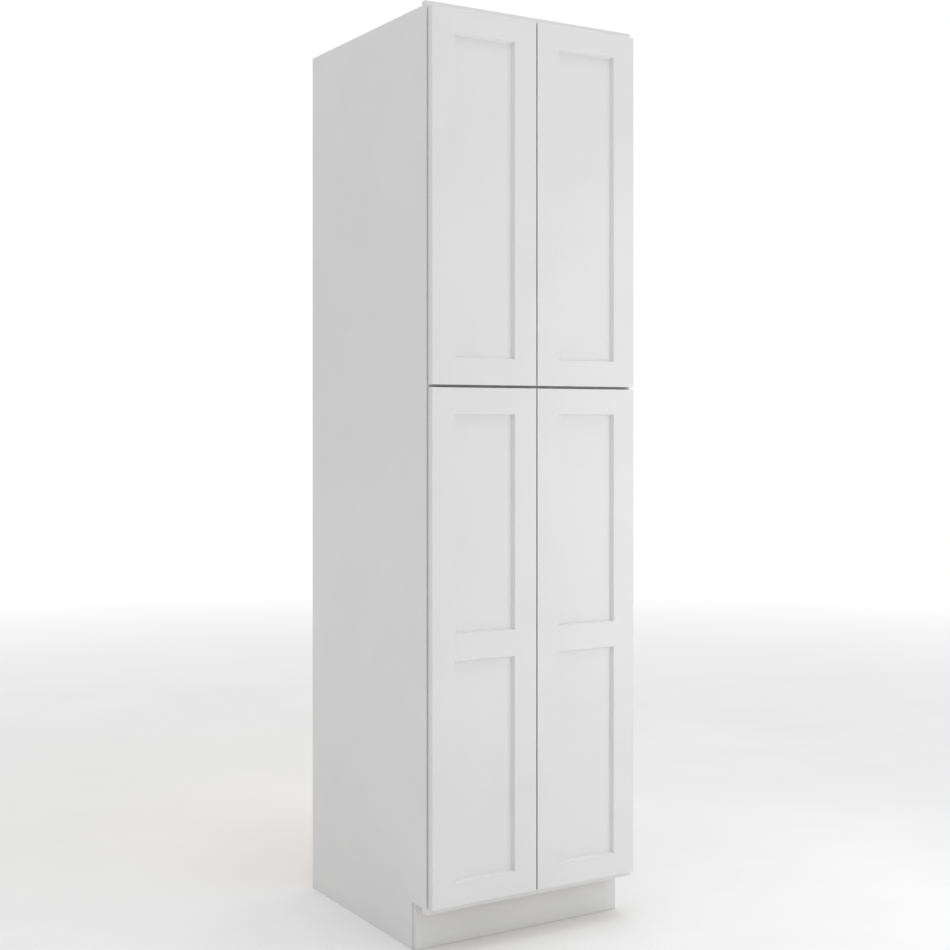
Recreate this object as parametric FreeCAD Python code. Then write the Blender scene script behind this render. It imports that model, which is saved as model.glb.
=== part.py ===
"""Tall framed pantry cabinet with four full-overlay doors on concealed hinges.

Frame: millimetres, +Z up, front towards -Y, +X to the right of someone facing the front.
Origin: on the floor, at the middle of the width and of the depth over the doors.
One STEP file is written for each node in parts/.
"""
import FreeCAD, Part
import os
from math import cos, radians, sin, sqrt

# Case
case_width = 609.6
case_height = 2286.0
case_depth = 628.65            # back of the case to the front of the face frame
side_thickness = 12.7
deck_thickness = 12.7          # top and floor panels
back_thickness = 6.35
side_top_drop = 9.5            # the frame stands this far above the side panels
dado_depth = 4.8
toe_height = 114.3             # notch in the side panels
toe_notch_depth = 69.85        # from the front of the face frame
toe_board_thickness = 12.7
toe_board_end_inset = 4.8      # side panel edge left showing beside the toe board
hanging_rail_height = 76.2
hanging_rail_thickness = 12.7
glue_block_leg = 38.0
glue_block_height = 45.0

# Face frame
frame_thickness = 19.05
frame_stile_width = 38.1
frame_rail_height = 38.1
frame_bottom = 101.6           # underside of the bottom rail above the floor
frame_edge_round = 0.8         # eased outer edges of the face frame
upper_bay_start = 1365.2       # height of the gap between lower and upper doors

# Shelves
shelf_thickness = 15.875
shelf_side_gap = 1.6
shelf_front_gap = 6.0
shelf_back_gap = 3.0
lower_shelf_count = 2
upper_shelf_count = 2
pin_radius = 2.5
pin_hole_pitch = 32.0
pin_holes_per_shelf = 5
pin_hole_depth = 9.0
pin_inset = 37.0               # pin rows from the front and back edges of a shelf
pin_reach = 8.0                # how far a pin stands into the case
pin_collar_radius = 4.5
pin_collar_thickness = 1.2
pin_tongue_width = 7.0
pin_tongue_thickness = 2.0     # the tongue that a shelf lies on

# Doors
door_thickness = 19.05
door_side_reveal = 4.8         # frame left showing beside each door
door_end_reveal = 15.9         # frame left showing above and below the doors
door_pair_gap = 3.2
door_tier_gap = 6.35
door_stand_off = 2.5           # air between a closed door and the face frame
door_stile_width = 63.5
door_rail_width = 63.5
door_end_rail_width = 57.15    # rails nearest the top and the floor
sticking_width = 4.0           # bevel around the inner edge of the door frame
panel_recess = 9.5
door_panel_thickness = 6.35
groove_depth = 9.5
panel_float = 1.5              # room left for each panel to move in its groove
door_edge_round = 1.5          # eased outer edges of each door

# Hinges, in plan: u runs inwards from the case side, v runs out from the face frame
lower_hinge_count = 3
upper_hinge_count = 2
hinge_end_distance = 100.0     # outermost hinges from the ends of a door
cup_radius = 17.5
cup_depth = 11.5
cup_wall = 1.0
ear_cup_clearance = 0.77       # between the ears of the base and the wall of the cup
cup_bore_clearance = 0.1
flange_radius = 19.5
flange_thickness = 1.0
dowel_radius = 5.0
dowel_length = 8.0
dowel_spacing = 45.0
dowel_offset = 9.5
wing_radius = 7.0
base_height = 44.0
base_thickness = 1.8
link_pin_inset = 1.4           # link pin from the inner edge of the frame stile
link_pin_height = 8.0          # link pin in front of the face frame
link_pin_radius = 1.25
link_pin_clearance = 0.05
ear_radius = 2.2
ear_thickness = 1.5
link_width = 9.2
link_ear_gap = 0.4
link_tip_gap = 2.98            # between the tip of the link and the wall of the cup
link_tip_radius = 1.2
link_thickness = 1.8
link_rest_angle = -5.95        # link at rest, above the plane of the closed door
screw_spacing = 28.0
screw_radius = 1.75
screw_length = 14.0
screw_head_radius = 3.4
screw_head_height = 1.8
screw_slot_width = 0.8
screw_slot_length = 4.8
screw_hole_clearance = 0.3

# Bumpers
bumper_radius = 4.5
bumper_top_radius = 3.8
bumper_gap = 0.4               # air left between a bumper and the frame
bumper_inset = 25.0            # from the free edge of the door

# Places that follow from the sizes above
overall_depth = case_depth + door_stand_off + door_thickness
half_width = case_width / 2
back_y = overall_depth / 2
frame_front_y = back_y - case_depth
frame_back_y = frame_front_y + frame_thickness
back_face_y = back_y - back_thickness
side_top = case_height - side_top_drop
inner_x = half_width - side_thickness
floor_top = frame_bottom + frame_rail_height
middle_rail_top = upper_bay_start + frame_rail_height / 2
notch_y = frame_front_y + toe_notch_depth
door_back_y = frame_front_y - door_stand_off
door_front_y = door_back_y - door_thickness
lower_door_z = (frame_bottom + door_end_reveal, upper_bay_start - door_tier_gap / 2)
upper_door_z = (upper_bay_start + door_tier_gap / 2, case_height - door_end_reveal)
lower_bay_z = (floor_top, middle_rail_top - shelf_thickness)
upper_bay_z = (middle_rail_top, side_top - deck_thickness)
shelf_front_y = frame_back_y + shelf_front_gap
shelf_back_y = back_face_y - hanging_rail_thickness - shelf_back_gap
pin_rows_y = (shelf_front_y + pin_inset, shelf_back_y - pin_inset)
ear_outer = link_width / 2 + link_ear_gap + ear_thickness
link_pin_u = frame_stile_width + link_pin_inset
cup_inner_radius = cup_radius - cup_wall
cup_reach_at_ears = sqrt(cup_inner_radius ** 2 - ear_outer ** 2)
cup_reach_at_link = sqrt(cup_inner_radius ** 2 - (link_width / 2) ** 2)
cup_u = link_pin_u + ear_radius + ear_cup_clearance - cup_reach_at_ears
link_tip_u = cup_u - cup_reach_at_link + link_tip_gap + link_tip_radius
link_length = (link_pin_u - link_tip_u) / cos(radians(link_rest_angle))
eps = 1.0                      # how far a cutting tool runs past the face that it opens

up = FreeCAD.Vector(0, 0, 1)


def box(x, y, z):
    """Box from three (low, high) pairs."""
    corner = FreeCAD.Vector(x[0], y[0], z[0])
    return Part.makeBox(x[1] - x[0], y[1] - y[0], z[1] - z[0], corner)


def extrude(points, travel):
    """Prism from a closed outline of 3-D points, moved along travel."""
    outline = Part.makePolygon(points + points[:1])
    return Part.Face(outline).extrude(travel)


def prism_up(outline, z):
    """Prism with an (x, y) outline between two heights."""
    points = [FreeCAD.Vector(px, py, z[0]) for px, py in outline]
    return extrude(points, FreeCAD.Vector(0, 0, z[1] - z[0]))


def prism_across(outline, x):
    """Prism with a (y, z) outline between two x values."""
    points = [FreeCAD.Vector(x[0], py, pz) for py, pz in outline]
    return extrude(points, FreeCAD.Vector(x[1] - x[0], 0, 0))


def eased_box(x, y, z, radius):
    """Box with rounded edges all round its front face."""
    blank = box(x, y, z)
    front = [edge for edge in blank.Edges if abs(edge.BoundBox.YMax - y[0]) < radius / 10]
    return blank.makeFillet(radius, front)


def rod(radius, start, travel):
    """Round bar from a start point along a travel vector."""
    return Part.makeCylinder(radius, travel.Length, start, travel)


def mirrored(shape):
    return shape.mirror(FreeCAD.Vector(0, 0, 0), FreeCAD.Vector(1, 0, 0))


def both_sides(shapes):
    return shapes + [mirrored(shape) for shape in shapes]


def plan(u, v, z):
    """Point at the left hinge side: u inwards from the case side, v out from the frame."""
    return FreeCAD.Vector(u - half_width, frame_front_y - v, z)


def write(name, shapes):
    solids = shapes if isinstance(shapes, list) else [shapes]
    shape = solids[0] if len(solids) == 1 else Part.makeCompound(solids)
    shape.exportStep(f"parts/{name}.step")


def shelf_heights(bay, count):
    """Undersides of evenly spaced shelves in a bay."""
    pitch = (bay[1] - bay[0] + shelf_thickness) / (count + 1)
    return [bay[0] + pitch * (i + 1) - shelf_thickness for i in range(count)]


def door_hinge_heights(door_z, count):
    first = door_z[0] + hinge_end_distance
    step = (door_z[1] - door_z[0] - 2 * hinge_end_distance) / (count - 1)
    return [first + step * i for i in range(count)]


lower_shelves = shelf_heights(lower_bay_z, lower_shelf_count)
upper_shelves = shelf_heights(upper_bay_z, upper_shelf_count)
lower_hinges = door_hinge_heights(lower_door_z, lower_hinge_count)
upper_hinges = door_hinge_heights(upper_door_z, upper_hinge_count)


# Hinges, made once for the left side at each height

def hinge_cup(z):
    """Pressed cup with a flange and two press-in dowels, one piece."""
    outward = FreeCAD.Vector(0, -1, 0)
    mouth = plan(cup_u, door_stand_off - flange_thickness, z)
    back = plan(cup_u, door_stand_off, z)
    body = rod(cup_radius, back, outward * cup_depth)
    flange = rod(flange_radius, mouth, outward * flange_thickness)
    wing_u = cup_u + dowel_offset
    wing = box(
        (wing_u - wing_radius - half_width, wing_u + wing_radius - half_width),
        (back.y, mouth.y),
        (z - dowel_spacing / 2, z + dowel_spacing / 2),
    )
    cup = body.fuse([flange, wing])
    for side in (-1, 1):
        height = z + side * dowel_spacing / 2
        tip = rod(wing_radius, plan(wing_u, door_stand_off - flange_thickness, height),
                  outward * flange_thickness)
        dowel = rod(dowel_radius, plan(wing_u, door_stand_off, height), outward * dowel_length)
        cup = cup.fuse([tip, dowel])
    hollow_depth = flange_thickness + cup_depth - cup_wall
    hollow = rod(cup_inner_radius, mouth, outward * hollow_depth)
    return cup.cut(hollow).removeSplitter()


def cup_bores(z):
    """Bores in a door stile for one cup and its dowels."""
    outward = FreeCAD.Vector(0, -1, 0)
    start = plan(cup_u, door_stand_off - eps, z)
    bore_depth = cup_depth + cup_bore_clearance
    tools = [rod(cup_radius + cup_bore_clearance, start, outward * (eps + bore_depth))]
    for side in (-1, 1):
        start = plan(cup_u + dowel_offset, door_stand_off - eps, z + side * dowel_spacing / 2)
        tools.append(rod(dowel_radius, start, outward * (dowel_length + eps)))
    return tools


def hinge_base(z):
    """Plate on the inner edge of the frame stile, with two ears and the link pin."""
    edge_u = frame_stile_width
    plate = box(
        (edge_u - half_width, edge_u + base_thickness - half_width),
        (frame_front_y, frame_back_y),
        (z - base_height / 2, z + base_height / 2),
    )
    for hole in screw_shanks(z, screw_radius + screw_hole_clearance):
        plate = plate.cut(hole)
    pieces = []
    for low in (ear_outer - ear_thickness, -ear_outer):
        neck = box(
            (edge_u - half_width, edge_u + base_thickness - half_width),
            (frame_front_y - link_pin_height, frame_front_y + eps),
            (z + low, z + low + ear_thickness),
        )
        eye = rod(ear_radius, plan(link_pin_u, link_pin_height, z + low), up * ear_thickness)
        pieces += [neck, eye]
    pin_start = plan(link_pin_u, link_pin_height, z - ear_outer)
    pieces.append(rod(link_pin_radius, pin_start, up * (2 * ear_outer)))
    return plate.fuse(pieces).removeSplitter()


def hinge_link(z):
    """Link that turns on the base's pin and reaches into the cup."""
    angle = radians(link_rest_angle)
    low = z - link_width / 2
    along = (-cos(angle), sin(angle))
    across = (sin(angle), cos(angle))
    half = link_thickness / 2
    outline = []
    for reach, side in ((0, -half), (link_length, -half), (link_length, half), (0, half)):
        u = link_pin_u + along[0] * reach + across[0] * side
        v = link_pin_height + along[1] * reach + across[1] * side
        outline.append(plan(u, v, low))
    bar = extrude(outline, up * link_width)
    tip_v = link_pin_height + along[1] * link_length
    tip = rod(link_tip_radius, plan(link_tip_u, tip_v, low), up * link_width)
    eye = rod(ear_radius, plan(link_pin_u, link_pin_height, low), up * link_width)
    hole = rod(link_pin_radius + link_pin_clearance, plan(link_pin_u, link_pin_height, low - eps),
               up * (link_width + 2 * eps))
    return bar.fuse([tip, eye]).cut(hole).removeSplitter()


def screw_heights(z):
    return (z - screw_spacing / 2, z + screw_spacing / 2)


def screw_start(height):
    """Centre of a screw on the face of its plate."""
    return plan(frame_stile_width + base_thickness, -frame_thickness / 2, height)


def screw_shanks(z, radius):
    travel = FreeCAD.Vector(-1, 0, 0) * (screw_length + base_thickness)
    return [rod(radius, screw_start(height), travel) for height in screw_heights(z)]


def base_screws(z):
    """Two cross-slotted screws through a base into the frame stile."""
    screws = []
    for height, shank in zip(screw_heights(z), screw_shanks(z, screw_radius)):
        start = screw_start(height)
        head = rod(screw_head_radius, start, FreeCAD.Vector(screw_head_height, 0, 0))
        screw = shank.fuse(head)
        depth = (start.x + screw_head_height / 2, start.x + screw_head_height + eps)
        wide = screw_slot_length / 2
        thin = screw_slot_width / 2
        for half_y, half_z in ((wide, thin), (thin, wide)):
            slot = box(depth, (start.y - half_y, start.y + half_y), (height - half_z, height + half_z))
            screw = screw.cut(slot)
        screws.append(screw.removeSplitter())
    return screws


left_screws = [screw for z in lower_hinges + upper_hinges for screw in base_screws(z)]


# Case

def side_panel():
    """Left side, with its toe notch, dados, back rabbet and shelf-pin holes."""
    outline = [
        (notch_y, 0), (back_y, 0), (back_y, side_top),
        (frame_back_y, side_top), (frame_back_y, toe_height), (notch_y, toe_height),
    ]
    panel = prism_across(outline, (-half_width, -inner_x))
    dado_x = (-inner_x - dado_depth, -inner_x + eps)
    dados = [
        (floor_top - deck_thickness, floor_top),
        (middle_rail_top - shelf_thickness, middle_rail_top),
        (side_top - deck_thickness, side_top + eps),
    ]
    for z in dados:
        panel = panel.cut(box(dado_x, (frame_back_y - eps, back_face_y), z))
    panel = panel.cut(box(dado_x, (back_face_y, back_y + eps), (-eps, side_top + eps)))
    return panel.cut(pin_holes())


def pin_holes():
    holes = []
    middle = (pin_holes_per_shelf - 1) / 2
    for shelf_z in lower_shelves + upper_shelves:
        for y in pin_rows_y:
            for i in range(pin_holes_per_shelf):
                z = shelf_z - pin_radius + (i - middle) * pin_hole_pitch
                start = FreeCAD.Vector(-inner_x + eps, y, z)
                holes.append(rod(pin_radius, start, FreeCAD.Vector(-pin_hole_depth - eps, 0, 0)))
    return holes


def deck(z, y):
    """Fixed board between the sides, let into their dados."""
    reach = inner_x + dado_depth
    return box((-reach, reach), y, z)


def shelf_pins(shelf_z):
    """Two left-hand pins under one shelf: round plug, collar and flat tongue."""
    pins = []
    for y in pin_rows_y:
        z = shelf_z - pin_radius
        plug = rod(pin_radius, FreeCAD.Vector(-inner_x - pin_hole_depth, y, z),
                   FreeCAD.Vector(pin_hole_depth + pin_reach, 0, 0))
        collar = rod(pin_collar_radius, FreeCAD.Vector(-inner_x, y, z),
                     FreeCAD.Vector(pin_collar_thickness, 0, 0))
        trim = box((-inner_x - eps, -inner_x + pin_reach + eps),
                   (y - 2 * pin_collar_radius, y + 2 * pin_collar_radius),
                   (shelf_z, shelf_z + 2 * pin_collar_radius))
        tongue = box((-inner_x, -inner_x + pin_reach),
                     (y - pin_tongue_width / 2, y + pin_tongue_width / 2),
                     (shelf_z - pin_tongue_thickness, shelf_z))
        pins.append(plug.fuse([collar, tongue]).cut(trim).removeSplitter())
    return pins


def glue_blocks():
    """Four triangular blocks under the floor panel, in the corners of the base."""
    blocks = []
    z = (floor_top - deck_thickness - glue_block_height, floor_top - deck_thickness)
    leg = glue_block_leg
    for corner_y, turn in ((notch_y, 1), (back_face_y, -1)):
        outline = [(-inner_x, corner_y), (-inner_x + leg, corner_y), (-inner_x, corner_y + turn * leg)]
        blocks.append(prism_up(outline, z))
    return both_sides(blocks)


def toe_board():
    """Board fixed on the front edges of the side panels, in their notches."""
    reach = half_width - toe_board_end_inset
    return box((-reach, reach), (notch_y - toe_board_thickness, notch_y), (0, toe_height))


def make_case():
    left_side = side_panel()
    write("side_panel_left", left_side)
    write("side_panel_right", mirrored(left_side))
    full_depth = (frame_back_y, back_face_y)
    write("top_panel", deck((side_top - deck_thickness, side_top), full_depth))
    write("floor_panel", deck((floor_top - deck_thickness, floor_top), full_depth))
    write("fixed_shelf", deck((middle_rail_top - shelf_thickness, middle_rail_top), full_depth))
    write("back_panel", deck((0, side_top), (back_face_y, back_y)))
    rail_y = (back_face_y - hanging_rail_thickness, back_face_y)
    for name, bay in (("hanging_rail_lower", lower_bay_z), ("hanging_rail_upper", upper_bay_z)):
        write(name, box((-inner_x, inner_x), rail_y, (bay[1] - hanging_rail_height, bay[1])))
    write("toe_board", toe_board())
    write("glue_blocks", glue_blocks())


def make_shelves():
    shelf_x = (-inner_x + shelf_side_gap, inner_x - shelf_side_gap)
    pins = []
    for name, heights in (("lower", lower_shelves), ("upper", upper_shelves)):
        for i, z in enumerate(heights):
            shelf = box(shelf_x, (shelf_front_y, shelf_back_y), (z, z + shelf_thickness))
            write(f"shelf_{name}_{i + 1}", shelf)
            pins += shelf_pins(z)
    write("shelf_pins", both_sides(pins))


def make_face_frame():
    frame_y = (frame_front_y, frame_back_y)
    stile_x = (-half_width, -half_width + frame_stile_width)
    blank = eased_box((-half_width, half_width), frame_y, (frame_bottom, case_height), frame_edge_round)
    stile = box(stile_x, frame_y, (frame_bottom, case_height)).common(blank).cut(left_screws)
    write("frame_stile_left", stile)
    write("frame_stile_right", mirrored(stile))
    rail_x = (stile_x[1], -stile_x[1])
    rails = {
        "bottom": frame_bottom,
        "middle": middle_rail_top - frame_rail_height,
        "top": case_height - frame_rail_height,
    }
    for name, z in rails.items():
        write(f"frame_rail_{name}", box(rail_x, frame_y, (z, z + frame_rail_height)).common(blank))


# Doors, each made on the left and mirrored for the right

def member_section(width, sides):
    """Section of a door stile or rail as (across, outwards) points.

    Across runs from the outer edge of the member, and outwards from the back of the door.
    Sides says which edges carry the bevel and the panel groove: "inner" or "both".
    """
    panel_back = door_thickness - panel_recess - door_panel_thickness
    panel_front = door_thickness - panel_recess
    inner = [
        (width, door_thickness), (width + sticking_width, panel_front),
        (width + sticking_width - groove_depth, panel_front),
        (width + sticking_width - groove_depth, panel_back),
        (width + sticking_width, panel_back), (width + sticking_width, 0),
    ]
    if sides == "inner":
        return [(0, 0), (0, door_thickness)] + inner
    outer = [
        (-sticking_width, 0), (-sticking_width, panel_back),
        (groove_depth - sticking_width, panel_back), (groove_depth - sticking_width, panel_front),
        (-sticking_width, panel_front), (0, door_thickness),
    ]
    return outer + inner


def door_stile(edge_x, turn, z):
    """Stile standing on its outer edge at edge_x, reaching inwards along turn."""
    section = member_section(door_stile_width, "inner")
    outline = [(edge_x + turn * across, door_back_y - out) for across, out in section]
    return prism_up(outline, z)


def rail_blank(x, z):
    """Rail between two stiles: ends coped over their bevels, with stub tenons."""
    panel_back = door_thickness - panel_recess - door_panel_thickness
    panel_front = door_thickness - panel_recess
    tenon = groove_depth - sticking_width
    right = [
        (door_stile_width + sticking_width, 0),
        (door_stile_width + sticking_width, panel_back), (door_stile_width - tenon, panel_back),
        (door_stile_width - tenon, panel_front),
        (door_stile_width + sticking_width, panel_front), (door_stile_width, door_thickness),
    ]
    outline = [(x[0] + across, door_back_y - out) for across, out in right]
    outline += [(x[1] - across, door_back_y - out) for across, out in reversed(right)]
    reach = (z[0] - sticking_width, z[1] + sticking_width)
    return prism_up(outline, reach)


def door_rail(x, start_z, width, turn, sides="inner"):
    """Rail from its outer edge at start_z, growing along turn."""
    section = member_section(width, sides)
    outline = [(door_back_y - out, start_z + turn * across) for across, out in section]
    bar = prism_across(outline, x)
    z = sorted((start_z, start_z + turn * width))
    return bar.common(rail_blank(x, z))


def door_panel(x, z):
    """Panel between the bevels of its frame, with its edges in the grooves."""
    reach = groove_depth - panel_float - sticking_width
    panel_y = door_front_y + panel_recess
    return box(
        (x[0] + door_stile_width - reach, x[1] - door_stile_width + reach),
        (panel_y, panel_y + door_panel_thickness),
        (z[0] - reach, z[1] + reach),
    )


def door_pieces(z, hinges, panel_count):
    """Pieces of a left door, by name, for one tier of the case."""
    x = (-half_width + door_side_reveal, -door_pair_gap / 2)
    hinge_stile = door_stile(x[0], 1, z)
    for height in hinges:
        hinge_stile = hinge_stile.cut(cup_bores(height))
    is_lower = panel_count > 1
    bottom_width = door_end_rail_width if is_lower else door_rail_width
    top_width = door_rail_width if is_lower else door_end_rail_width
    open_z = (z[0] + bottom_width, z[1] - top_width)
    pieces = {
        "hinge_stile": hinge_stile,
        "meeting_stile": door_stile(x[1], -1, z),
        "bottom_rail": door_rail(x, z[0], bottom_width, 1),
        "top_rail": door_rail(x, z[1], top_width, -1),
    }
    slab = eased_box(x, (door_front_y, door_back_y), z, door_edge_round)
    pieces = {name: piece.common(slab) for name, piece in pieces.items()}
    if not is_lower:
        pieces["panel"] = door_panel(x, open_z)
        return pieces
    middle = (open_z[0] + open_z[1] - door_rail_width) / 2
    pieces["middle_rail"] = door_rail(x, middle, door_rail_width, 1, "both")
    pieces["lower_panel"] = door_panel(x, (open_z[0], middle))
    pieces["upper_panel"] = door_panel(x, (middle + door_rail_width, open_z[1]))
    return pieces


def bumpers(z):
    """Two tapered pads on the back of a left door, over the frame rails."""
    x = -door_pair_gap / 2 - bumper_inset
    height = door_stand_off - bumper_gap
    inward = FreeCAD.Vector(0, 1, 0)
    starts = [FreeCAD.Vector(x, door_back_y, centre_z) for centre_z in z]
    return [Part.makeCone(bumper_radius, bumper_top_radius, height, start, inward) for start in starts]


def make_doors():
    bottom_rail_top = frame_bottom + frame_rail_height
    middle_rail_bottom = middle_rail_top - frame_rail_height
    top_rail_bottom = case_height - frame_rail_height
    lower_bumper_z = (
        (lower_door_z[0] + bottom_rail_top) / 2,
        (middle_rail_bottom + lower_door_z[1]) / 2,
    )
    upper_bumper_z = (
        (upper_door_z[0] + middle_rail_top) / 2,
        (top_rail_bottom + upper_door_z[1]) / 2,
    )
    tiers = (
        ("lower", lower_door_z, lower_hinges, 2, lower_bumper_z),
        ("upper", upper_door_z, upper_hinges, 1, upper_bumper_z),
    )
    for tier, z, hinges, panel_count, bumper_z in tiers:
        pieces = {f"door_{name}": shape for name, shape in door_pieces(z, hinges, panel_count).items()}
        pieces["bumpers"] = bumpers(bumper_z)
        pieces["hinge_cups"] = [hinge_cup(height) for height in hinges]
        pieces["hinge_links"] = [hinge_link(height) for height in hinges]
        for name, shapes in pieces.items():
            left = shapes if isinstance(shapes, list) else [shapes]
            write(f"{tier}_left_{name}", left)
            write(f"{tier}_right_{name}", [mirrored(shape) for shape in left])


def make_hinge_bases():
    bases = [hinge_base(z) for z in lower_hinges + upper_hinges]
    write("hinge_bases_left", bases)
    write("hinge_bases_right", [mirrored(base) for base in bases])
    write("hinge_screws", both_sides(left_screws))


os.makedirs("parts", exist_ok=True)
make_case()
make_shelves()
make_face_frame()
make_doors()
make_hinge_bases()
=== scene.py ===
import math
from itertools import product

import bmesh
import bpy
from mathutils import Matrix, Vector


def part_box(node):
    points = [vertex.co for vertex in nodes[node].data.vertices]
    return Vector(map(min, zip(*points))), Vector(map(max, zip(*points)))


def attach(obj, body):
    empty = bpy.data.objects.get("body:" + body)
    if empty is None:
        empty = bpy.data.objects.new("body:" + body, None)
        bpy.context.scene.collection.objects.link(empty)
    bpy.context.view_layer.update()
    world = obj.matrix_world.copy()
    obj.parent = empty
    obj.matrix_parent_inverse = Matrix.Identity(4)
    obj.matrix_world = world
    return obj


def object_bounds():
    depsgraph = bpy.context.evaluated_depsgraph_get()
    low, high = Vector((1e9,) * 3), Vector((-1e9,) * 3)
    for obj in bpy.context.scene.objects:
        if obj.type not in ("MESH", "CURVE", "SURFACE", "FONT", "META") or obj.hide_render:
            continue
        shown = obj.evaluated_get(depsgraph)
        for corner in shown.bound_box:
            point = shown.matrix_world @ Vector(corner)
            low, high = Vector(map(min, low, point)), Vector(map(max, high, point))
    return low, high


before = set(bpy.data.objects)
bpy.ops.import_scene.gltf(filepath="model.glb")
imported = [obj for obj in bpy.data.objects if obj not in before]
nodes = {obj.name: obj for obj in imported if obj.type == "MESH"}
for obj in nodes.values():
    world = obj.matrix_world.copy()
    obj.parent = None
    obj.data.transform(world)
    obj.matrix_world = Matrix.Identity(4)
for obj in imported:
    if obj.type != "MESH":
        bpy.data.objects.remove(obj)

cadLow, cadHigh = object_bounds()
stileLow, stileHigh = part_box("frame_stile_left")
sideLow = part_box("side_panel_left")[0]
acrossX, deepY, upZ = 0, 1, 2
print("cabinet frame loaded,", len(nodes), "boards and fittings")


# node helpers

middleBand = (0.3, 0.7)  # where most of a cloud's values lie


def startMaterial(name):
    mat = bpy.data.materials.new(name)
    mat.use_nodes = True
    tree = mat.node_tree
    tree.nodes.clear()
    out = tree.nodes.new("ShaderNodeOutputMaterial")
    shader = tree.nodes.new("ShaderNodeBsdfPrincipled")
    tree.links.new(shader.outputs["BSDF"], out.inputs["Surface"])
    return mat, tree, shader


def feed(tree, socket, value):
    if hasattr(value, "is_linked"):
        tree.links.new(value, socket)
    elif isinstance(value, tuple) and len(value) == 3 and socket.type == "RGBA":
        socket.default_value = (*value, 1)
    else:
        socket.default_value = value


def stretchedCoords(tree, stretch=(1, 1, 1)):
    coords = tree.nodes.new("ShaderNodeTexCoord")
    mapping = tree.nodes.new("ShaderNodeMapping")
    mapping.inputs["Scale"].default_value = stretch
    tree.links.new(coords.outputs["Object"], mapping.inputs["Vector"])
    return mapping.outputs["Vector"]


def alongAxis(across, lengthwise, axis):
    stretch = [across] * 3
    stretch[axis] = lengthwise
    return stretch


def cloud(tree, coords, scale=1.0, detail=4.0, rough=0.55, distortion=0.0):
    node = tree.nodes.new("ShaderNodeTexNoise")
    node.inputs["Scale"].default_value = scale
    node.inputs["Detail"].default_value = detail
    node.inputs["Roughness"].default_value = rough
    node.inputs["Distortion"].default_value = distortion
    tree.links.new(coords, node.inputs["Vector"])
    return node.outputs["Fac"]


def calc(tree, operation, *values):
    node = tree.nodes.new("ShaderNodeMath")
    node.operation = operation
    for socket, value in zip(node.inputs, values):
        feed(tree, socket, value)
    return node.outputs["Value"]


def spread(tree, value, low, high, newLow=0.0, newHigh=1.0):
    node = tree.nodes.new("ShaderNodeMapRange")
    node.inputs["From Min"].default_value = low
    node.inputs["From Max"].default_value = high
    node.inputs["To Min"].default_value = newLow
    node.inputs["To Max"].default_value = newHigh
    tree.links.new(value, node.inputs["Value"])
    return node.outputs["Result"]


def shades(tree, value, places, colours):
    node = tree.nodes.new("ShaderNodeValToRGB")
    elements = node.color_ramp.elements
    while len(elements) < len(places):
        elements.new(0.5)
    for element, place, colour in zip(elements, places, colours):
        element.position = place
        element.color = (*colour, 1)
    tree.links.new(value, node.inputs["Fac"])
    return node.outputs["Color"]


def blendColour(tree, amount, under, over, how="MIX"):
    node = tree.nodes.new("ShaderNodeMix")
    node.data_type = "RGBA"
    node.blend_type = how
    # socket 0 is the amount, 6 and 7 are the two colours, and output 2 is the result
    for place, value in ((0, amount), (6, under), (7, over)):
        feed(tree, node.inputs[place], value)
    return node.outputs[2]


def relief(tree, height, strength, depth, under=None):
    node = tree.nodes.new("ShaderNodeBump")
    node.inputs["Strength"].default_value = strength
    node.inputs["Distance"].default_value = depth
    tree.links.new(height, node.inputs["Height"])
    if under is not None:
        tree.links.new(under, node.inputs["Normal"])
    return node.outputs["Normal"]


def axisValue(tree, output, axis):
    coords = tree.nodes.new("ShaderNodeTexCoord")
    parts = tree.nodes.new("ShaderNodeSeparateXYZ")
    tree.links.new(coords.outputs[output], parts.inputs["Vector"])
    return parts.outputs["XYZ"[axis]]


# satin white paint: sprayed, with the wood's grain just showing through the film

paint = {
    "white": (0.80, 0.80, 0.797),
    "shade": (0.765, 0.766, 0.766),
    # lighter colour of the painted highlight along the arrises
    "highlightWhite": (0.85, 0.85, 0.848),
    "roughness": (0.30, 0.43),
    "ior": 1.48,
    "mottleScale": 3.1,
    "mottleBand": (0.3, 0.62),
    "mottleGloss": (0.85, 1.1),
    "grainSize": (150.0, 5.0),  # repeats per metre across and along the grain
    "grainBand": (0.35, 0.75),
    "grainShow": 0.16,
    "grainDepth": 0.00006,
    "rubScale": 14.0,
    "peelScale": 620.0,
    "peelDepth": 0.000022,
    # painted highlight along the arrises: width, lean range and strength
    "highlightWidth": 0.0016,
    "highlightLean": (0.995, 0.86),
    "highlightShow": 0.7,
    # painted shade in crevices: how far it looks, where it ends, how dark it gets
    "paintedShadeReach": 0.014,
    "paintedShadeEnd": 0.36,
    "paintedShadeDark": 0.22,
}


def paintFilm(tree, grainAxis):
    even = stretchedCoords(tree)
    mottle = cloud(tree, even, paint["mottleScale"], detail=5.0, rough=0.6)
    grainCoords = stretchedCoords(tree, alongAxis(*paint["grainSize"], grainAxis))
    grain = cloud(tree, grainCoords, detail=5.0, rough=0.62, distortion=0.35)
    colour = shades(tree, mottle, paint["mottleBand"], (paint["shade"], paint["white"]))
    faintGrain = spread(tree, grain, *paint["grainBand"], 0.0, paint["grainShow"])
    colour = blendColour(tree, faintGrain, colour, paint["shade"])
    rub = cloud(tree, even, paint["rubScale"], detail=6.0, rough=0.7)
    gloss = calc(tree, "MULTIPLY", rub, spread(tree, mottle, *middleBand, *paint["mottleGloss"]))
    roughness = spread(tree, gloss, *middleBand, *paint["roughness"])
    peel = cloud(tree, even, paint["peelScale"], detail=2.0, rough=0.5)
    normal = relief(tree, grain, 0.5, paint["grainDepth"])
    normal = relief(tree, peel, 0.5, paint["peelDepth"], normal)
    return colour, roughness, normal


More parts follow.
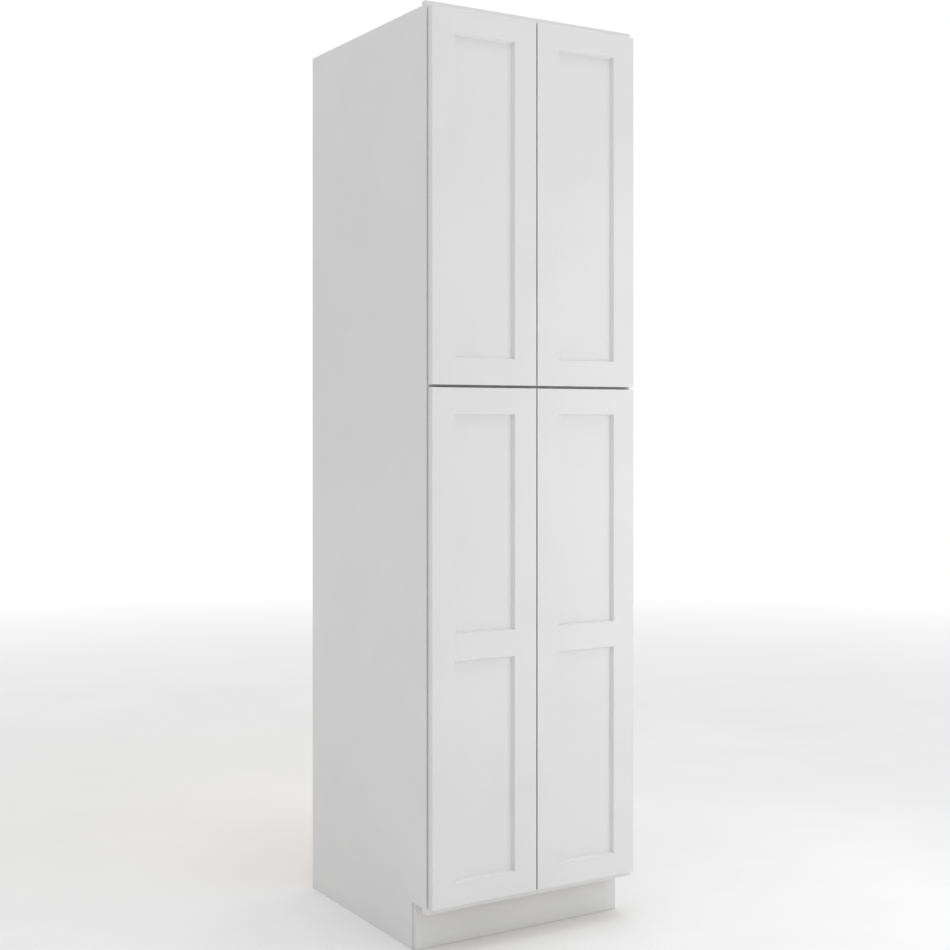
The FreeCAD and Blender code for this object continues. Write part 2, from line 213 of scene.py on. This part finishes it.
# painted shade: darkens the paint colour near concave corners, gaps and recesses, where shade falls
def paintedCreviceShade(tree, reach):
    near = tree.nodes.new("ShaderNodeAmbientOcclusion")
    near.samples = 6
    near.inputs["Distance"].default_value = reach
    return near.outputs["AO"]


# painted highlight: a lighter paint colour along the arrises, where light catches the edges
def paintedEdgeHighlight(tree, width):
    # how far the rounded normal leans away from the true one, which is only along the arrises
    rounded = tree.nodes.new("ShaderNodeBevel")
    rounded.samples = 4
    rounded.inputs["Radius"].default_value = width
    flat = tree.nodes.new("ShaderNodeNewGeometry")
    lean = tree.nodes.new("ShaderNodeVectorMath")
    lean.operation = "DOT_PRODUCT"
    tree.links.new(rounded.outputs["Normal"], lean.inputs[0])
    tree.links.new(flat.outputs["Normal"], lean.inputs[1])
    return spread(tree, lean.outputs["Value"], *paint["highlightLean"])


def satinPaint(name, grainAxis):
    mat, tree, shader = startMaterial(name)
    colour, roughness, normal = paintFilm(tree, grainAxis)
    # painted highlight blended into the colour along the arrises
    edgeHighlight = calc(tree, "MULTIPLY", paintedEdgeHighlight(tree, paint["highlightWidth"]), paint["highlightShow"])
    colour = blendColour(tree, edgeHighlight, colour, paint["highlightWhite"])
    # painted shade multiplied into the colour in crevices, gaps and recesses
    openness = paintedCreviceShade(tree, paint["paintedShadeReach"])
    paintedShade = spread(tree, openness, 0.0, paint["paintedShadeEnd"], paint["paintedShadeDark"], 1.0)
    colour = blendColour(tree, 1.0, colour, paintedShade, "MULTIPLY")
    feed(tree, shader.inputs["Base Color"], colour)
    feed(tree, shader.inputs["Roughness"], roughness)
    feed(tree, shader.inputs["Normal"], normal)
    shader.inputs["IOR"].default_value = paint["ior"]
    return mat


# woods: birch plywood with a rotary-cut face and a laid-up edge, and pine for the glue blocks

birch = {
    "light": (0.77, 0.625, 0.43),
    "mid": (0.72, 0.565, 0.375),
    "dark": (0.625, 0.465, 0.29),
    "pore": (0.47, 0.32, 0.18),
    "plyLight": (0.70, 0.54, 0.35),
    "plyDark": (0.44, 0.29, 0.16),
    "roughness": (0.34, 0.52),
    "plyPitch": 0.0028,
    "ringShare": 0.16,
    "streakShare": 0.42,
}

pine = {
    "light": (0.70, 0.50, 0.28),
    "mid": (0.60, 0.40, 0.20),
    "dark": (0.42, 0.25, 0.11),
    "pore": (0.30, 0.17, 0.08),
    "plyLight": (0.66, 0.46, 0.25),
    "plyDark": (0.52, 0.33, 0.16),
    "roughness": (0.55, 0.75),
    "plyPitch": 0.0042,
    "ringShare": 0.35,
    "streakShare": 0.3,
}

# what both woods share; sizes are repeats per metre across and along the grain
woodFigure = {
    "figureSize": (7.0, 0.5),
    "ringCount": 85.0,
    "streakSize": (46.0, 1.1),
    "fibreSize": (420.0, 12.0),
    "fibreDepth": 0.00005,
    "poreSize": (900.0, 60.0),
    "poreBand": (0.64, 0.72),
    "poreShow": 0.4,
    "toneBand": (0.28, 0.5, 0.72),
    "layerWobble": 0.35,
    "wobbleScale": (60, 60, 60),
    "layerBand": (-0.4, 0.4),
    "edgeLimit": 0.5,
    "coatWeight": 0.35,
    "coatRoughness": 0.22,
}


def veneer(tree, look, grainAxis):
    def drawn(size, **shape):
        stretch = alongAxis(*woodFigure[size], grainAxis)
        return cloud(tree, stretchedCoords(tree, stretch), **shape)

    figure = drawn("figureSize", detail=2.0, rough=0.45, distortion=0.35)
    rings = calc(tree, "SINE", calc(tree, "MULTIPLY", figure, woodFigure["ringCount"]))
    rings = spread(tree, rings, -1.0, 1.0)
    streak = drawn("streakSize", detail=4.0, rough=0.6, distortion=0.2)
    fibre = drawn("fibreSize", detail=5.0, rough=0.65)
    pore = drawn("poreSize", detail=2.0, rough=0.5)
    fibreShare = 1.0 - look["ringShare"] - look["streakShare"]
    tone = calc(tree, "MULTIPLY", rings, look["ringShare"])
    tone = calc(tree, "MULTIPLY_ADD", streak, look["streakShare"], tone)
    tone = calc(tree, "MULTIPLY_ADD", fibre, fibreShare, tone)
    colour = shades(tree, tone, woodFigure["toneBand"], (look["dark"], look["mid"], look["light"]))
    ticks = spread(tree, pore, *woodFigure["poreBand"], 0.0, woodFigure["poreShow"])
    return blendColour(tree, ticks, colour, look["pore"]), fibre


def plyEdge(tree, look, thicknessAxis):
    place = axisValue(tree, "Object", thicknessAxis)
    wobble = cloud(tree, stretchedCoords(tree, woodFigure["wobbleScale"]), detail=3.0)
    waved = calc(tree, "MULTIPLY_ADD", wobble, look["plyPitch"] * woodFigure["layerWobble"], place)
    layers = calc(tree, "SINE", calc(tree, "MULTIPLY", waved, math.tau / look["plyPitch"]))
    layers = spread(tree, layers, *woodFigure["layerBand"])
    return shades(tree, layers, (0.0, 1.0), (look["plyDark"], look["plyLight"]))


def onEdge(tree, thicknessAxis):
    facing = calc(tree, "ABSOLUTE", axisValue(tree, "Normal", thicknessAxis))
    return calc(tree, "LESS_THAN", facing, woodFigure["edgeLimit"])


def plywood(name, grainAxis, thicknessAxis, look=birch):
    mat, tree, shader = startMaterial(name)
    colour, fibre = veneer(tree, look, grainAxis)
    colour = blendColour(tree, onEdge(tree, thicknessAxis), colour, plyEdge(tree, look, thicknessAxis))
    feed(tree, shader.inputs["Base Color"], colour)
    feed(tree, shader.inputs["Roughness"], spread(tree, fibre, *middleBand, *look["roughness"]))
    feed(tree, shader.inputs["Normal"], relief(tree, fibre, 0.4, woodFigure["fibreDepth"]))
    shader.inputs["Coat Weight"].default_value = woodFigure["coatWeight"]
    shader.inputs["Coat Roughness"].default_value = woodFigure["coatRoughness"]
    return mat


# side panels: painted outside and on their front edges, birch inside, laid-up top and back edges

sideBoard = {
    "paintSkin": 0.0004,  # how far in from the outer face the paint reaches
    "frontLimit": 0.5,
    "fibreStrength": 0.1,
    "fibreDepth": 0.00003,
}


def sidePaintOutBirchIn(name, outerX):
    mat, tree, shader = startMaterial(name)
    paintColour, paintRough, paintNormal = paintFilm(tree, upZ)
    woodColour, fibre = veneer(tree, birch, upZ)
    woodRough = spread(tree, fibre, *middleBand, *birch["roughness"])
    fromMiddle = calc(tree, "ABSOLUTE", axisValue(tree, "Object", acrossX))
    outside = calc(tree, "GREATER_THAN", fromMiddle, abs(outerX) - sideBoard["paintSkin"])
    forward = calc(tree, "MULTIPLY", axisValue(tree, "Normal", deepY), -1.0)
    front = calc(tree, "GREATER_THAN", forward, sideBoard["frontLimit"])
    painted = calc(tree, "MAXIMUM", outside, front)
    woodColour = blendColour(tree, onEdge(tree, acrossX), woodColour, plyEdge(tree, birch, acrossX))
    feed(tree, shader.inputs["Base Color"], blendColour(tree, painted, woodColour, paintColour))
    roughGap = calc(tree, "SUBTRACT", paintRough, woodRough)
    feed(tree, shader.inputs["Roughness"], calc(tree, "MULTIPLY_ADD", painted, roughGap, woodRough))
    normal = relief(tree, fibre, sideBoard["fibreStrength"], sideBoard["fibreDepth"], paintNormal)
    feed(tree, shader.inputs["Normal"], normal)
    return mat


# plated steel for hinges, pins and screws

nickel = {
    "light": (0.66, 0.645, 0.61),
    "dark": (0.52, 0.51, 0.485),
    "roughness": (0.2, 0.36),
    "lay": upZ,
}

zinc = {
    "light": (0.68, 0.69, 0.70),
    "dark": (0.50, 0.51, 0.53),
    "roughness": (0.26, 0.42),
    "lay": deepY,
}

plating = {
    "drawnSize": (2400.0, 90.0),
    "drawnDepth": 0.00001,
    "stainScale": 85.0,
    "stainBand": (0.3, 0.62),
    "wearShare": 0.5,
    "wearBand": (0.35, 0.65),
    "anisotropic": 0.35,
}


def platedSteel(name, look):
    mat, tree, shader = startMaterial(name)
    drawnCoords = stretchedCoords(tree, alongAxis(*plating["drawnSize"], look["lay"]))
    drawn = cloud(tree, drawnCoords, detail=3.0)
    stain = cloud(tree, stretchedCoords(tree), plating["stainScale"], detail=5.0, rough=0.65)
    colour = shades(tree, stain, plating["stainBand"], (look["dark"], look["light"]))
    feed(tree, shader.inputs["Base Color"], colour)
    share = plating["wearShare"]
    wear = calc(tree, "MULTIPLY_ADD", drawn, share, calc(tree, "MULTIPLY", stain, 1.0 - share))
    roughness = spread(tree, wear, *plating["wearBand"], *look["roughness"])
    feed(tree, shader.inputs["Roughness"], roughness)
    feed(tree, shader.inputs["Normal"], relief(tree, drawn, 0.35, plating["drawnDepth"]))
    shader.inputs["Metallic"].default_value = 1.0
    shader.inputs["Anisotropic"].default_value = plating["anisotropic"]
    return mat


# clear soft bumpers on the backs of the doors

softPad = {
    "dull": (0.86, 0.88, 0.87),
    "clear": (0.95, 0.96, 0.95),
    "dustScale": 520.0,
    "dustBand": (0.35, 0.7),
    "roughness": (0.12, 0.34),
    "transmission": 0.7,
    "ior": 1.47,
}


def clearPad(name):
    mat, tree, shader = startMaterial(name)
    dust = cloud(tree, stretchedCoords(tree), softPad["dustScale"], detail=5.0, rough=0.7)
    colour = shades(tree, dust, softPad["dustBand"], (softPad["dull"], softPad["clear"]))
    feed(tree, shader.inputs["Base Color"], colour)
    feed(tree, shader.inputs["Roughness"], spread(tree, dust, *middleBand, *softPad["roughness"]))
    shader.inputs["Transmission Weight"].default_value = softPad["transmission"]
    shader.inputs["IOR"].default_value = softPad["ior"]
    return mat


paintUp = satinPaint("satinWhitePaintUpright", upZ)
paintAcross = satinPaint("satinWhitePaintAcross", acrossX)
sideFinish = sidePaintOutBirchIn("whiteOutsideBirchInside", sideLow.x)
birchShelf = plywood("birchPlywoodFlat", acrossX, upZ)
birchBack = plywood("birchPlywoodUpright", upZ, deepY)
birchRail = plywood("birchPlywoodRail", acrossX, deepY)
birchBand = plywood("birchEdgeBand", acrossX, deepY)
pineBlock = plywood("barePineBlock", upZ, acrossX, pine)
hingeFinish = platedSteel("nickelPlatedSteel", nickel)
screwFinish = platedSteel("zincPlatedScrew", zinc)
padFinish = clearPad("clearSoftPad")
print("finishes mixed")


# every board and fitting gets its finish and slightly broken arrises

arris = {
    "board": 0.00035,
    "fitting": 0.0002,
    "segments": 2,
    "angle": 28,
    "weld": 0.00001,
}


def finishFor(name):
    if name.startswith("side_panel"):
        return sideFinish
    if "screws" in name:
        return screwFinish
    if "hinge_cups" in name or "hinge_links" in name or "hinge_bases" in name or name == "shelf_pins":
        return hingeFinish
    if "bumpers" in name:
        return padFinish
    if name == "glue_blocks":
        return pineBlock
    if name == "back_panel":
        return birchBack
    if name.startswith("hanging_rail"):
        return birchRail
    if name in ("top_panel", "floor_panel", "fixed_shelf") or name.startswith("shelf_"):
        return birchShelf
    if name == "toe_board" or name.endswith("_rail") or name.startswith("frame_rail"):
        return paintAcross
    return paintUp


def easeEdges(piece, width):
    weld = piece.modifiers.new("weldCorners", "WELD")
    weld.merge_threshold = arris["weld"]
    ease = piece.modifiers.new("brokenArris", "BEVEL")
    ease.width = width
    ease.segments = arris["segments"]
    ease.limit_method = "ANGLE"
    ease.angle_limit = math.radians(arris["angle"])
    ease.harden_normals = True


fittingFinishes = (hingeFinish, screwFinish, padFinish)
for name, piece in nodes.items():
    finish = finishFor(name)
    piece.data.materials.clear()
    piece.data.materials.append(finish)
    easeEdges(piece, arris["fitting"] if finish in fittingFinishes else arris["board"])
print("boards finished")


# small parts made here: dowel screws and adjusting cams on the hinges, shelf bands, back staples

def meshFrom(name, build):
    mesh = bpy.data.meshes.new(name)
    shape = bmesh.new()
    build(shape)
    bmesh.ops.recalc_face_normals(shape, faces=shape.faces)
    shape.to_mesh(mesh)
    shape.free()
    return mesh


def addBlock(shape, low, high):
    verts = [shape.verts.new(corner) for corner in product(*zip(low, high))]
    ends = ((0, 1, 3, 2), (4, 6, 7, 5))
    walls = ((0, 4, 5, 1), (2, 3, 7, 6), (0, 2, 6, 4), (1, 5, 7, 3))
    for ring in ends + walls:
        shape.faces.new([verts[i] for i in ring])


def addTurned(shape, profile, steps):
    # turns a radius and height profile about Z and closes both ends
    directions = [(math.cos(math.tau * i / steps), math.sin(math.tau * i / steps)) for i in range(steps)]
    rings = []
    for radius, height in profile:
        rings.append([shape.verts.new((radius * x, radius * y, height)) for x, y in directions])
    for lower, upper in zip(rings, rings[1:]):
        for i in range(steps):
            j = (i + 1) % steps
            shape.faces.new((lower[i], lower[j], upper[j], upper[i]))
    shape.faces.new(rings[0][::-1])
    shape.faces.new(rings[-1])


def carve(name, solid, cutter):
    body = bpy.data.objects.new(name, solid)
    knife = bpy.data.objects.new(name + "Knife", cutter)
    for thing in (body, knife):
        bpy.context.scene.collection.objects.link(thing)
    cut = body.modifiers.new("cut", "BOOLEAN")
    cut.object = knife
    cut.solver = "EXACT"
    bpy.context.view_layer.update()
    graph = bpy.context.evaluated_depsgraph_get()
    carved = bpy.data.meshes.new_from_object(body.evaluated_get(graph))
    for thing in (body, knife):
        bpy.data.objects.remove(thing)
    return carved


def slotKnife(halfX, halfY, low, high):
    return meshFrom("slotKnife", lambda shape: addBlock(shape, (-halfX, -halfY, low), (halfX, halfY, high)))


def placeCopies(name, template, places, finish, body):
    mesh = bpy.data.meshes.new(name)
    shape = bmesh.new()
    for place in places:
        part = template.copy()
        part.transform(place)
        shape.from_mesh(part)
        bpy.data.meshes.remove(part)
    shape.to_mesh(mesh)
    shape.free()
    mesh.materials.append(finish)
    piece = bpy.data.objects.new(name, mesh)
    bpy.context.scene.collection.objects.link(piece)
    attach(piece, body)


crossHead = {
    "radius": 0.0034,
    "height": 0.0009,
    "rim": 0.00045,
    "flatShare": 0.45,
    "domeSteps": 6,
    "armLong": 0.0021,
    "armHalf": 0.00038,
    "depth": 0.0007,
    "sunk": 0.0003,
    "steps": 40,
}

dowelScrew = {
    "offset": 0.0095,
    "halfSpacing": 0.0225,
    "turns": (17, 31),  # the first screw's turn in degrees, and how much more each next one has
}

adjustCam = {
    "radius": 0.0036,
    "height": 0.0013,
    "rim": 0.0004,
    "slotLong": 0.0028,
    "slotHalf": 0.00045,
    "slotDepth": 0.0007,
    "collar": 0.0050,
    "collarHeight": 0.00045,
    "collarWall": 0.6,
    "collarTop": 0.94,
    "sunk": 0.0003,
    "steps": 40,
    "turns": (40, 23),
}

fittingGap = 0.06  # the fittings in one column are further apart than this


def crossHeadMesh():
    look = crossHead
    rise = look["height"] - look["rim"]
    profile = [(look["radius"], -look["sunk"]), (look["radius"], look["rim"])]
    for i in range(1, look["domeSteps"] + 1):
        turn = math.pi / 2 * i / look["domeSteps"]
        share = look["flatShare"] + (1 - look["flatShare"]) * math.cos(turn)
        profile.append((look["radius"] * share, look["rim"] + rise * math.sin(turn)))
    head = meshFrom("crossHead", lambda shape: addTurned(shape, profile, look["steps"]))
    low, high = look["height"] - look["depth"], look["height"] * 2
    for halfX, halfY in ((look["armLong"], look["armHalf"]), (look["armHalf"], look["armLong"])):
        head = carve("crossHead", head, slotKnife(halfX, halfY, low, high))
    return head


def camMesh():
    look = adjustCam
    top = look["collarHeight"] + look["height"]
    profile = [
        (look["collar"], -look["sunk"]),
        (look["collar"], look["collarHeight"] * look["collarWall"]),
        (look["collar"] * look["collarTop"], look["collarHeight"]),
        (look["radius"], look["collarHeight"]),
        (look["radius"], top - look["rim"]),
        (look["radius"] - look["rim"], top),
    ]
    cam = meshFrom("cam", lambda shape: addTurned(shape, profile, look["steps"]))
    knife = slotKnife(look["slotLong"], look["slotHalf"], top - look["slotDepth"], top * 2)
    return carve("cam", cam, knife)


def heightsOf(node):
    # middle height of each separate fitting in a node that holds a column of them
    levels = sorted({round(vertex.co.z, 4) for vertex in nodes[node].data.vertices})
    groups = [[levels[0]]]
    for level in levels[1:]:
        if level - groups[-1][-1] > fittingGap:
            groups.append([])
        groups[-1].append(level)
    return [(group[0] + group[-1]) / 2 for group in groups]


def spin(look, count):
    first, more = look["turns"]
    return Matrix.Rotation(math.radians(first + more * count), 4, "Z")


def plateFace(side, inward, middleY):
    # the inner face of the plates on the frame, behind their ears
    vertices = nodes[f"hinge_bases_{side}"].data.vertices
    return inward * max(inward * vertex.co.x for vertex in vertices if vertex.co.y > middleY)


def fitHingeDetails():
    head = crossHeadMesh()
    cam = camMesh()
    backward = Matrix.Rotation(math.radians(-90), 4, "X")
    middleY = (stileLow.y + stileHigh.y) / 2
    for side, inward in (("left", 1), ("right", -1)):
        face = plateFace(side, inward, middleY)
        sideways = Matrix.Rotation(math.radians(90 * inward), 4, "Y")
        camPlaces = []
        for tier in ("lower", "upper"):
            node = f"{tier}_{side}_hinge_cups"
            low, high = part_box(node)
            x = (low.x + high.x) / 2 + inward * dowelScrew["offset"]
            cupHeights = heightsOf(node)
            heights = [z + way * dowelScrew["halfSpacing"] for z in cupHeights for way in (-1, 1)]
            places = []
            for i, z in enumerate(heights):
                places.append(Matrix.Translation((x, high.y, z)) @ backward @ spin(dowelScrew, i))
            name = f"{tier}_{side}_dowel_screws"
            placeCopies(name, head, places, screwFinish, f"{tier}_{side}_door")
            for i, z in enumerate(cupHeights):
                camPlaces.append(Matrix.Translation((face, middleY, z)) @ sideways @ spin(adjustCam, i))
        placeCopies(f"hinge_cams_{side}", cam, camPlaces, screwFinish, "case")
    print("hinge screws fitted")


fitHingeDetails()


shelfBand = {
    "thickness": 0.0006,
    "round": 0.0004,
    "segments": 3,
    "lap": 0.00002,  # how far the band's back reaches into the shelf's edge
}


def bandShelves():
    for name in sorted(nodes):
        if not name.startswith("shelf_") or name == "shelf_pins":
            continue
        low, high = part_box(name)
        front = (low.x, low.y - shelfBand["thickness"], low.z)
        back = (high.x, low.y + shelfBand["lap"], high.z)
        mesh = meshFrom(name + "_band", lambda shape: addBlock(shape, front, back))
        mesh.materials.append(birchBand)
        piece = bpy.data.objects.new(name + "_band", mesh)
        bpy.context.scene.collection.objects.link(piece)
        ease = piece.modifiers.new("roundedBand", "BEVEL")
        ease.width = shelfBand["round"]
        ease.segments = shelfBand["segments"]
        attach(piece, "case")


bandShelves()
print("shelves banded")


staple = {
    "crown": 0.0110,
    "wire": 0.0012,
    "flatShare": 0.6,
    "proud": 0.00025,
    "shoulder": 0.0003,
    "bendDepth": 0.0001,
    "legDepth": 0.0008,
    "pitch": 0.15,
    "edge": 0.0065,
    "endGap": 0.04,
}


def stapleMesh():
    # a flattened wire with bent ends that dive into the board
    half = staple["crown"] / 2
    wire = staple["wire"] / 2
    bend = wire / 2
    flat = wire * staple["flatShare"]
    leg = [(half, -staple["legDepth"]), (half, -staple["bendDepth"]), (half - bend, staple["proud"])]
    path = [(-along, out) for along, out in leg] + leg[::-1]
    section = ((-wire, staple["shoulder"]), (-flat, 0.0), (flat, 0.0), (wire, staple["shoulder"]))

    def crown(shape):
        rings = []
        for along, out in path:
            rings.append([shape.verts.new((along, across, out - drop)) for across, drop in section])
        for first, second in zip(rings, rings[1:]):
            for i in range(len(section) - 1):
                shape.faces.new((first[i], second[i], second[i + 1], first[i + 1]))

    return meshFrom("staple", crown)


def evenSteps(first, last):
    count = round((last - first) / staple["pitch"])
    return [first + (last - first) * i / count for i in range(count + 1)]


def stapleBack():
    low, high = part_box("back_panel")
    backward = Matrix.Rotation(math.radians(-90), 4, "X")
    upright = backward @ Matrix.Rotation(math.radians(90), 4, "Z")
    places = []
    for z in evenSteps(low.z + staple["endGap"], high.z - staple["endGap"]):
        for x in (low.x + staple["edge"], high.x - staple["edge"]):
            places.append(Matrix.Translation((x, high.y, z)) @ upright)
    for board in ("floor_panel", "fixed_shelf", "top_panel"):
        boardLow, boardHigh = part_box(board)
        z = (boardLow.z + boardHigh.z) / 2
        for x in evenSteps(low.x, high.x)[1:-1]:
            places.append(Matrix.Translation((x, high.y, z)) @ backward)
    placeCopies("back_staples", stapleMesh(), places, screwFinish, "case")


stapleBack()
print("back stapled")


# studio: pale floor, tall soft light at the right front, soft top light, sky brighter overhead

studio = {
    "floorSize": 60.0,
    "floorDrop": 0.0005,
    "floorDull": (0.90, 0.90, 0.90),
    "floorPale": (0.95, 0.95, 0.95),
    "floorMottle": 1.2,
    "floorRoughness": 0.7,
    "floorFade": (2.2, 7.0),
    "skyGlow": (0.40, 0.85),
    "skySeen": 1.0,
    "keyPlace": (1.6, -1.9, 1.1),
    "keyAim": (0.0, -0.3, 1.0),
    "keySize": (1.0, 2.1),
    "keyPower": 10.6,
    "topPlace": (0.3, -0.6, 5.2),
    "topAim": (0.0, -1.0, 0.0),
    "topSize": (5.0, 5.0),
    "topPower": 88.0,
}


def fadingFloor():
    mat, tree, shader = startMaterial("paleStudioFloor")
    mottle = cloud(tree, stretchedCoords(tree), studio["floorMottle"])
    colour = shades(tree, mottle, middleBand, (studio["floorDull"], studio["floorPale"]))
    feed(tree, shader.inputs["Base Color"], colour)
    shader.inputs["Roughness"].default_value = studio["floorRoughness"]
    # far from the cabinet the floor melts into the sky
    place = tree.nodes.new("ShaderNodeTexCoord")
    away = tree.nodes.new("ShaderNodeVectorMath")
    away.operation = "LENGTH"
    tree.links.new(place.outputs["Object"], away.inputs[0])
    haze = tree.nodes.new("ShaderNodeEmission")
    haze.inputs["Strength"].default_value = studio["skySeen"]
    melt = tree.nodes.new("ShaderNodeMixShader")
    feed(tree, melt.inputs["Fac"], spread(tree, away.outputs["Value"], *studio["floorFade"]))
    tree.links.new(shader.outputs["BSDF"], melt.inputs[1])
    tree.links.new(haze.outputs["Emission"], melt.inputs[2])
    tree.links.new(melt.outputs["Shader"], tree.nodes["Material Output"].inputs["Surface"])
    return mat


def layFloor():
    mesh = bpy.data.meshes.new("studioFloor")
    half = studio["floorSize"] / 2
    corners = [(-half, -half, 0), (half, -half, 0), (half, half, 0), (-half, half, 0)]
    mesh.from_pydata(corners, [], [(0, 1, 2, 3)])
    mesh.materials.append(fadingFloor())
    floor = bpy.data.objects.new("studioFloor", mesh)
    floor.location.z = cadLow.z - studio["floorDrop"]
    bpy.context.scene.collection.objects.link(floor)


def hangLight(name):
    lamp = bpy.data.lights.new(name + "Light", "AREA")
    lamp.shape = "RECTANGLE"
    lamp.size, lamp.size_y = studio[name + "Size"]
    lamp.energy = studio[name + "Power"]
    holder = bpy.data.objects.new(name + "Light", lamp)
    place = Vector(studio[name + "Place"])
    gaze = Vector(studio[name + "Aim"]) - place
    holder.location = place
    holder.rotation_euler = gaze.to_track_quat("-Z", "Y").to_euler()
    holder.visible_camera = False
    bpy.context.scene.collection.objects.link(holder)


def lightSky():
    world = bpy.data.worlds.new("studioSky")
    bpy.context.scene.world = world
    world.use_nodes = True
    tree = world.node_tree
    sky = tree.nodes["Background"]
    ray = tree.nodes.new("ShaderNodeLightPath")
    # the sky that lights things grows brighter overhead, and the sky that is seen is plain white
    glow = spread(tree, axisValue(tree, "Generated", upZ), 0.0, 1.0, *studio["skyGlow"])
    seen = calc(tree, "MULTIPLY", ray.outputs["Is Camera Ray"], studio["skySeen"])
    lit = calc(tree, "MULTIPLY", calc(tree, "SUBTRACT", 1.0, ray.outputs["Is Camera Ray"]), glow)
    sky.inputs["Color"].default_value = (1, 1, 1, 1)
    feed(tree, sky.inputs["Strength"], calc(tree, "ADD", seen, lit))


layFloor()
hangLight("key")
hangLight("top")
lightSky()
print("studio lit")


# camera: level, left of the front, measured from the face frame's lower left front corner

cameraView = {
    "lens": 56.35,
    "sensor": 36.0,
    "turn": -30.977,
    "fromCorner": (-1.7568, -3.0829),
    "height": 1.2824,
    "shift": (0.0161, -0.0573),
}


def placeCamera():
    camera = bpy.data.cameras.new("studioCamera")
    camera.lens = cameraView["lens"]
    camera.sensor_width = cameraView["sensor"]
    camera.shift_x, camera.shift_y = cameraView["shift"]
    holder = bpy.data.objects.new("studioCamera", camera)
    alongX, alongY = cameraView["fromCorner"]
    holder.location = (stileLow.x + alongX, stileLow.y + alongY, cadLow.z + cameraView["height"])
    holder.rotation_euler = (math.radians(90), 0, math.radians(cameraView["turn"]))
    bpy.context.scene.collection.objects.link(holder)
    bpy.context.scene.camera = holder


placeCamera()
bpy.context.scene.view_settings.view_transform = "Standard"
print("camera placed")
